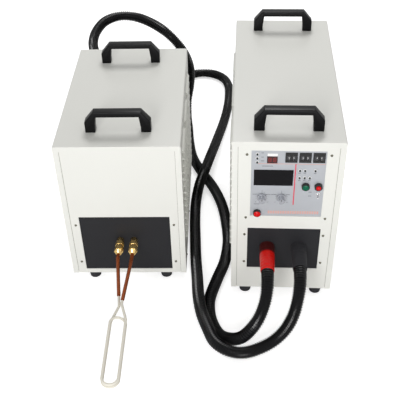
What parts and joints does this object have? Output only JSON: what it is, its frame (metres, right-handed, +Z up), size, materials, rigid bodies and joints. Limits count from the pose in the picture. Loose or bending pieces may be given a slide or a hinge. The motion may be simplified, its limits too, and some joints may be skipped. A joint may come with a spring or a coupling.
{
  "type": "induction_heating_machine",
  "caption": "Split induction heating machine: power supply cabinet with controls, heating station with a water-cooled work coil, joined by corrugated hoses",
  "frame": {"origin": "on the floor, in the middle of the box round both cabinets and the coil, hoses left out", "axes": "+X to the right of someone facing the fronts, +Y from the fronts to the rears, +Z up"},
  "size_m": [0.6619, 1.3903, 0.482],
  "materials": {
    "ivory_paint": "powder coated sheet, satin",
    "control_paint": "blue-grey printed aluminium, satin",
    "phenolic_board": "dark insulating laminate",
    "black_gloss": "black display filter, glossy",
    "display_red": "dark red digit display",
    "lamp_lens": "small clear dark lamp lens",
    "black_plastic": "moulded black plastic, satin",
    "dark_plastic": "moulded dark plastic",
    "silver_plastic": "silver-grey knob",
    "green_plastic": "green button cap",
    "red_plastic": "red button cap",
    "bright_metal": "bright plated screws and toggle",
    "red_rubber": "soft red rubber boot",
    "black_rubber": "black rubber and corrugated hose",
    "circuit_green": "green circuit board",
    "brass": "machined brass",
    "capacitor_case": "blue sleeved capacitor case",
    "plate_aluminium": "milled aluminium",
    "core_steel": "varnished laminations",
    "light_plastic": "light grey moulded case",
    "copper": "dull brown copper",
    "winding_enamel": "varnished copper winding",
    "glass_sleeve": "cream glass-fibre sleeve"
  },
  "bodies": {
    "machine": {"supply_base": "ivory_paint", "supply_cover": "ivory_paint", "supply_front": "ivory_paint", "supply_rear": "ivory_paint", "supply_output_plate": "phenolic_board", "control_plate": "control_paint", "display_window": "black_gloss", "timer_display": "display_red", "indicator_lamps": "lamp_lens", "pushwheel_housings": "black_plastic", "dial_potentiometers": "black_plastic", "button_bodies": "black_plastic", "toggle_switch": "bright_metal", "red_boot": "red_rubber", "black_boot": "black_rubber", "inner_hose": "black_rubber", "outer_hose": "black_rubber", "control_board": "circuit_green", "board_standoffs": "brass", "filter_capacitors": "capacitor_case", "cooling_plate": "plate_aluminium", "power_modules": "dark_plastic", "smoothing_choke": "core_steel", "main_breaker": "light_plastic", "fan_frame": "black_plastic", "mains_gland": "black_plastic", "water_fittings": "brass", "supply_handles": "black_plastic", "station_base": "ivory_paint", "station_cover": "ivory_paint", "station_front": "ivory_paint", "station_rear": "ivory_paint", "station_output_plate": "phenolic_board", "output_fittings": "brass", "flare_nuts": "brass", "coil_tube": "copper", "coil_sleeve": "glass_sleeve", "transformer_core": "core_steel", "transformer_winding": "winding_enamel", "resonant_capacitors": "capacitor_case", "busbars": "copper", "station_glands": "black_plastic", "station_handles": "black_plastic", "handle_screws": "bright_metal", "cabinet_feet": "black_rubber", "cabinet_screws": "bright_metal"},
    "pushwheel_1": {"pushwheel_1": "dark_plastic"},
    "pushwheel_2": {"pushwheel_2": "dark_plastic"},
    "pushwheel_3": {"pushwheel_3": "dark_plastic"},
    "pushwheel_4": {"pushwheel_4": "dark_plastic"},
    "pushwheel_5": {"pushwheel_5": "dark_plastic"},
    "pushwheel_6": {"pushwheel_6": "dark_plastic"},
    "left_dial": {"left_dial": "silver_plastic"},
    "right_dial": {"right_dial": "silver_plastic"},
    "start_button": {"start_button": "green_plastic"},
    "stop_button": {"stop_button": "red_plastic"},
    "power_button": {"power_button": "red_plastic"},
    "toggle_lever": {"toggle_lever": "bright_metal"},
    "breaker_lever": {"breaker_lever": "dark_plastic"},
    "fan_rotor": {"fan_rotor": "dark_plastic"}
  },
  "joints": [
    {"name": "pushwheel_1_turn", "type": "hinge", "parent": "machine", "child": "pushwheel_1", "pos_m": [0.19698, -0.09352, 0.3915], "axis": [1, 0, 0], "continuous": true},
    {"name": "pushwheel_2_turn", "type": "hinge", "parent": "machine", "child": "pushwheel_2", "pos_m": [0.20918, -0.09352, 0.3915], "axis": [1, 0, 0], "continuous": true},
    {"name": "pushwheel_3_turn", "type": "hinge", "parent": "machine", "child": "pushwheel_3", "pos_m": [0.22498, -0.09352, 0.3915], "axis": [1, 0, 0], "continuous": true},
    {"name": "pushwheel_4_turn", "type": "hinge", "parent": "machine", "child": "pushwheel_4", "pos_m": [0.23718, -0.09352, 0.3915], "axis": [1, 0, 0], "continuous": true},
    {"name": "pushwheel_5_turn", "type": "hinge", "parent": "machine", "child": "pushwheel_5", "pos_m": [0.25298, -0.09352, 0.3915], "axis": [1, 0, 0], "continuous": true},
    {"name": "pushwheel_6_turn", "type": "hinge", "parent": "machine", "child": "pushwheel_6", "pos_m": [0.26518, -0.09352, 0.3915], "axis": [1, 0, 0], "continuous": true},
    {"name": "left_dial_turn", "type": "hinge", "parent": "machine", "child": "left_dial", "pos_m": [0.14608, -0.09953, 0.289], "axis": [0, 1, 0], "range_deg": [-135, 135]},
    {"name": "right_dial_turn", "type": "hinge", "parent": "machine", "child": "right_dial", "pos_m": [0.18708, -0.09953, 0.289], "axis": [0, 1, 0], "range_deg": [-135, 135]},
    {"name": "start_button_press", "type": "slide", "parent": "machine", "child": "start_button", "axis": [0, 1, 0], "range_m": [0, 0.0025], "stiffness_N_per_m": 400, "springref_m": -0.001},
    {"name": "stop_button_press", "type": "slide", "parent": "machine", "child": "stop_button", "axis": [0, 1, 0], "range_m": [0, 0.0025], "stiffness_N_per_m": 400, "springref_m": -0.001},
    {"name": "power_button_press", "type": "slide", "parent": "machine", "child": "power_button", "axis": [0, 1, 0], "range_m": [0, 0.0025], "stiffness_N_per_m": 400, "springref_m": -0.001},
    {"name": "toggle_throw", "type": "hinge", "parent": "machine", "child": "toggle_lever", "pos_m": [0.26258, -0.10143, 0.3], "axis": [-1, 0, 0], "range_deg": [0, 24]},
    {"name": "breaker_throw", "type": "hinge", "parent": "machine", "child": "breaker_lever", "pos_m": [0.13508, 0.43498, 0.19], "axis": [1, 0, 0], "range_deg": [0, 50]},
    {"name": "fan_spin", "type": "hinge", "parent": "machine", "child": "fan_rotor", "pos_m": [0.19708, 0.42397, 0.32], "axis": [0, 1, 0], "continuous": true}
  ]
}
